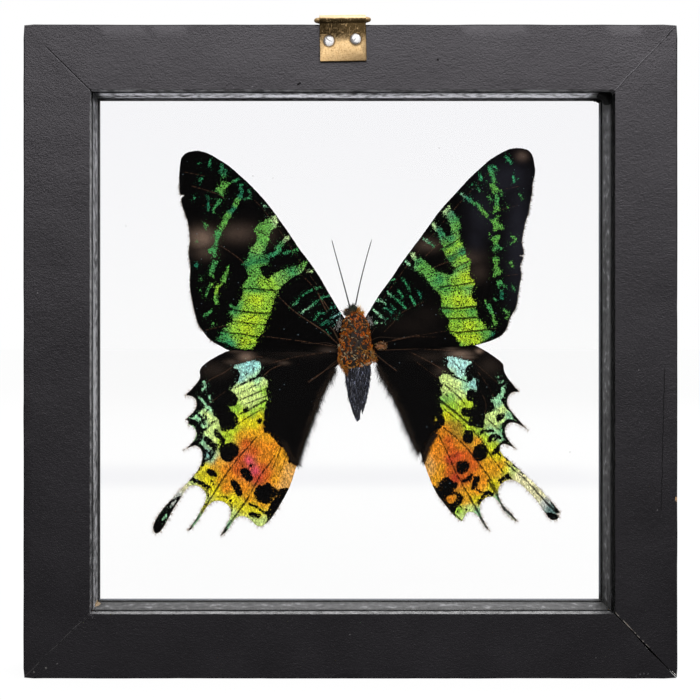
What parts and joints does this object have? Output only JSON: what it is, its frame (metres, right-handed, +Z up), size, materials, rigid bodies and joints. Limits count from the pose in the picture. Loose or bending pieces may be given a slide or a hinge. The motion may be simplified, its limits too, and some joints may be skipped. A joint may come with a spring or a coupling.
{
  "type": "butterfly display case",
  "caption": "Square wooden display frame with a spread moth between two glass panes, and a folding wire hanging ring on a screwed brass strap",
  "frame": {"origin": "middle of the bottom rail's underside", "axes": "+Z up the frame, +X to the right seen from the hanger side, -Y out of the face that carries the hanger"},
  "size_m": [0.152, 0.0249, 0.1542],
  "materials": {
    "frame_paint": "black satin paint over wood, worn at the edges",
    "liner_paint": "thin dark grey paint on wood strips",
    "brad_steel": "plain steel wire",
    "glass": "clear polished picture glass",
    "hanger_brass": "tarnished and scratched brass plating",
    "ring_brass": "brass plated wire",
    "screw_steel": "bright plated steel",
    "forewing": "black scales with metallic green bands",
    "hindwing": "black scales with green, yellow, orange and red patches",
    "moth_body": "orange brown hair",
    "abdomen": "blue black hair",
    "antenna": "dark grey thread",
    "adhesive": "milky clear dab"
  },
  "bodies": {
    "case": {"top_rail": "frame_paint", "bottom_rail": "frame_paint", "left_rail": "frame_paint", "right_rail": "frame_paint", "corner_brads": "brad_steel", "front_glass": "glass", "back_glass": "glass", "top_spacer": "liner_paint", "bottom_spacer": "liner_paint", "left_spacer": "liner_paint", "right_spacer": "liner_paint", "top_stop": "liner_paint", "bottom_stop": "liner_paint", "left_stop": "liner_paint", "right_stop": "liner_paint", "stop_brads": "brad_steel", "hanger_plate": "hanger_brass", "hanger_screws": "screw_steel", "left_forewing": "forewing", "right_forewing": "forewing", "left_hindwing": "hindwing", "right_hindwing": "hindwing", "moth_head": "moth_body", "moth_thorax": "moth_body", "moth_abdomen": "abdomen", "left_antenna": "antenna", "right_antenna": "antenna", "mounting_pad": "adhesive"},
    "ring": {"hanger_ring": "ring_brass"}
  },
  "joints": [
    {"name": "ring_hinge", "type": "hinge", "parent": "case", "child": "ring", "pos_m": [-0.00185, -0.012, 0.1531], "axis": [0.9998, 0, 0.0175], "range_deg": [0, 236]}
  ]
}
